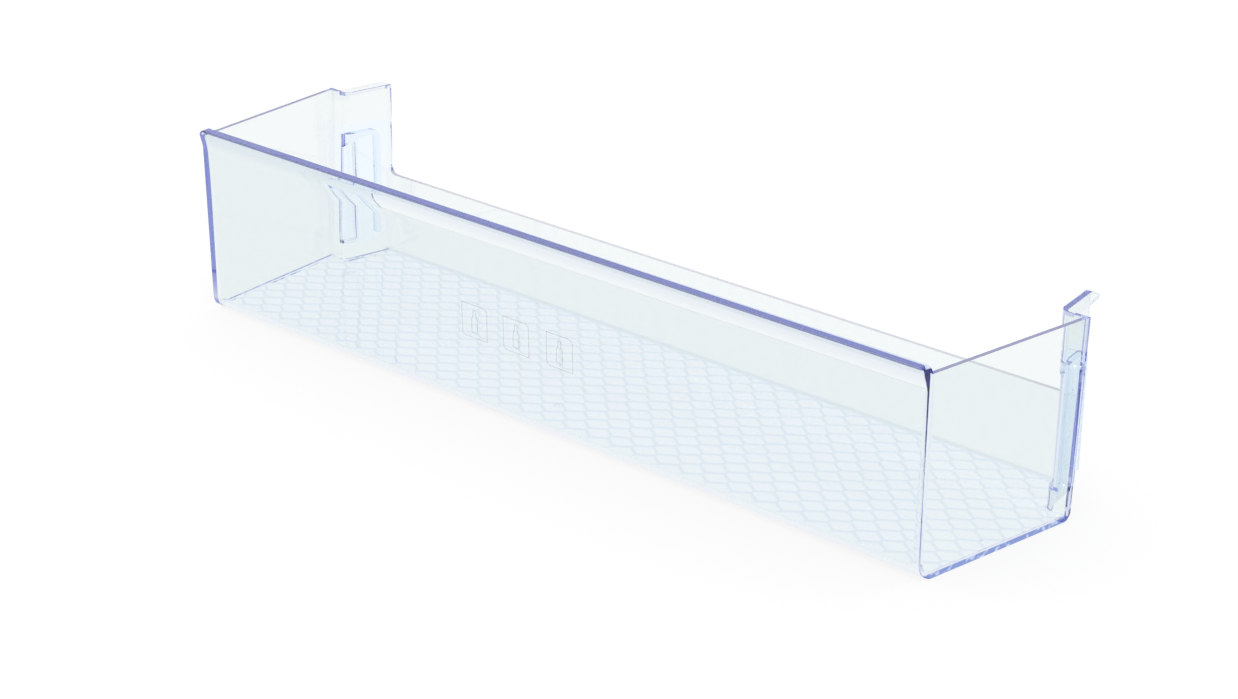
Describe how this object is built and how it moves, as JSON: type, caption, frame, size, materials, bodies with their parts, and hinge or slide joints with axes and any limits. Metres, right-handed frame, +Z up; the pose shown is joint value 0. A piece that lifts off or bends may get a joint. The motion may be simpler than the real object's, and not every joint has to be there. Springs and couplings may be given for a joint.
{
  "type": "fridge door shelf",
  "caption": "Clear moulded tray for a refrigerator door, with a tall lipped front wall, stepped ends, slotted ears that hang on door lugs, a low back wall and a honeycomb floor.",
  "frame": {"origin": "on the underside, below the middle of the shelf's box", "axes": "+X along the door to the right of the front wall, +Y from the front wall to the back wall, +Z up"},
  "size_m": [0.49, 0.1284, 0.1],
  "materials": {
    "clear_plastic": "clear and glossy, faintly blue, darker blue along its edges"
  },
  "bodies": {
    "root": {"door_shelf": "clear_plastic"}
  },
  "joints": []
}
